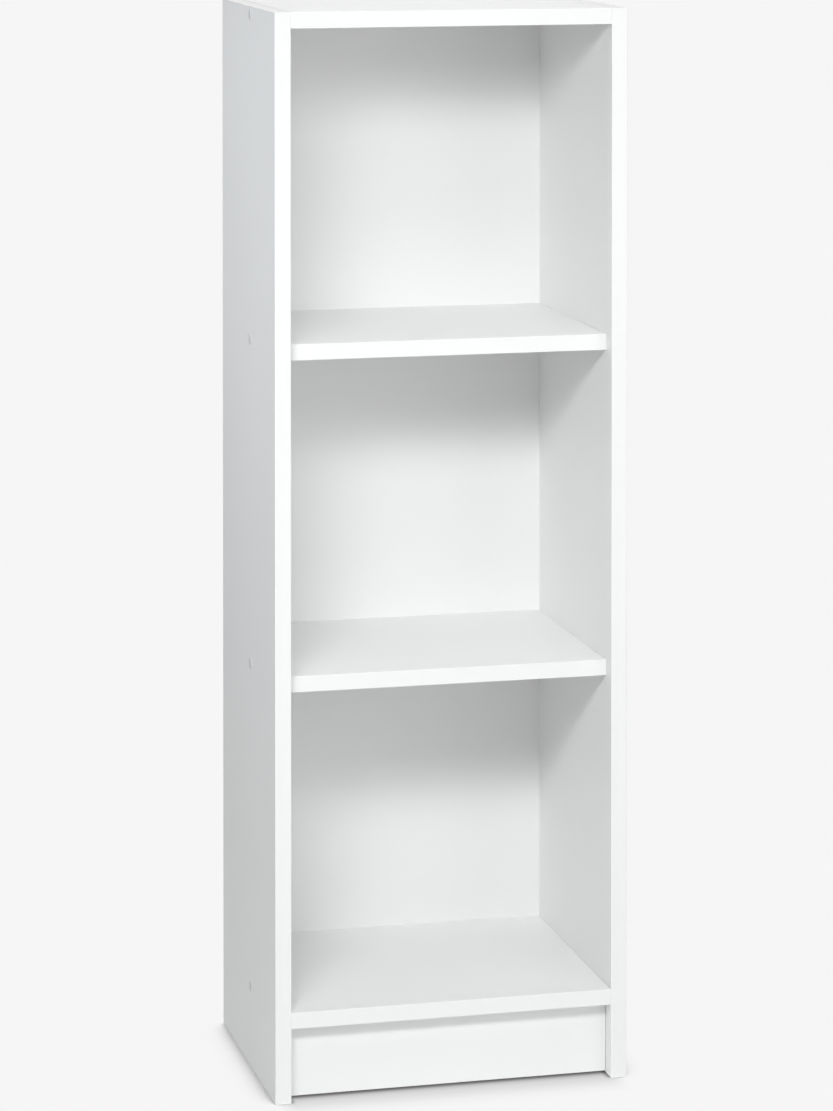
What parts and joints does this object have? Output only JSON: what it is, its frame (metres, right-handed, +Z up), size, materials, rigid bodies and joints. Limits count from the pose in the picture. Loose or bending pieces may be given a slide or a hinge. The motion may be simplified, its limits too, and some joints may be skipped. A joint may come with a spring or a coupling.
{
  "type": "open bookcase",
  "caption": "Tall narrow open bookcase of white-faced board, with fixed shelves between full-height sides, a set-back plinth and a thin nailed-on back.",
  "frame": {"origin": "on the floor, at the centre of the footprint: midway between the outer faces of the sides, and midway between the front edges of the sides and the outer face of the back panel", "axes": "+Z up, +X to the right as seen by someone facing the open front, -Y out of the open front, +Y out of the back panel towards the wall"},
  "size_m": [0.4018, 0.3, 1.195],
  "materials": {
    "melamine_board": "satin",
    "back_board": "matte",
    "beech_dowel": "matte",
    "zinc_screw": "satin",
    "steel_nail": "satin",
    "cap_plastic": "satin"
  },
  "bodies": {
    "root": {"left_side": "melamine_board", "right_side": "melamine_board", "bottom_shelf": "melamine_board", "lower_shelf": "melamine_board", "upper_shelf": "melamine_board", "top_panel": "melamine_board", "plinth": "melamine_board", "back_panel": "back_board", "bottom_shelf_screw_left": "zinc_screw", "lower_shelf_screw_left": "zinc_screw", "upper_shelf_screw_left": "zinc_screw", "top_panel_screw_left": "zinc_screw", "bottom_shelf_screw_right": "zinc_screw", "lower_shelf_screw_right": "zinc_screw", "upper_shelf_screw_right": "zinc_screw", "top_panel_screw_right": "zinc_screw", "bottom_shelf_cap_left": "cap_plastic", "lower_shelf_cap_left": "cap_plastic", "upper_shelf_cap_left": "cap_plastic", "top_panel_cap_left": "cap_plastic", "bottom_shelf_cap_right": "cap_plastic", "lower_shelf_cap_right": "cap_plastic", "upper_shelf_cap_right": "cap_plastic", "top_panel_cap_right": "cap_plastic", "bottom_shelf_dowel_left_front": "beech_dowel", "bottom_shelf_dowel_left_rear": "beech_dowel", "lower_shelf_dowel_left_front": "beech_dowel", "lower_shelf_dowel_left_rear": "beech_dowel", "upper_shelf_dowel_left_front": "beech_dowel", "upper_shelf_dowel_left_rear": "beech_dowel", "top_panel_dowel_left_front": "beech_dowel", "top_panel_dowel_left_rear": "beech_dowel", "bottom_shelf_dowel_right_front": "beech_dowel", "bottom_shelf_dowel_right_rear": "beech_dowel", "lower_shelf_dowel_right_front": "beech_dowel", "lower_shelf_dowel_right_rear": "beech_dowel", "upper_shelf_dowel_right_front": "beech_dowel", "upper_shelf_dowel_right_rear": "beech_dowel", "top_panel_dowel_right_front": "beech_dowel", "top_panel_dowel_right_rear": "beech_dowel", "plinth_dowel_left_lower": "beech_dowel", "plinth_dowel_left_upper": "beech_dowel", "plinth_dowel_right_lower": "beech_dowel", "plinth_dowel_right_upper": "beech_dowel", "back_nail_left_1": "steel_nail", "back_nail_left_2": "steel_nail", "back_nail_left_3": "steel_nail", "back_nail_left_4": "steel_nail", "back_nail_left_5": "steel_nail", "back_nail_left_6": "steel_nail", "back_nail_right_1": "steel_nail", "back_nail_right_2": "steel_nail", "back_nail_right_3": "steel_nail", "back_nail_right_4": "steel_nail", "back_nail_right_5": "steel_nail", "back_nail_right_6": "steel_nail", "back_nail_bottom_shelf_left": "steel_nail", "back_nail_bottom_shelf_right": "steel_nail", "back_nail_top_panel_left": "steel_nail", "back_nail_top_panel_right": "steel_nail"}
  },
  "joints": []
}
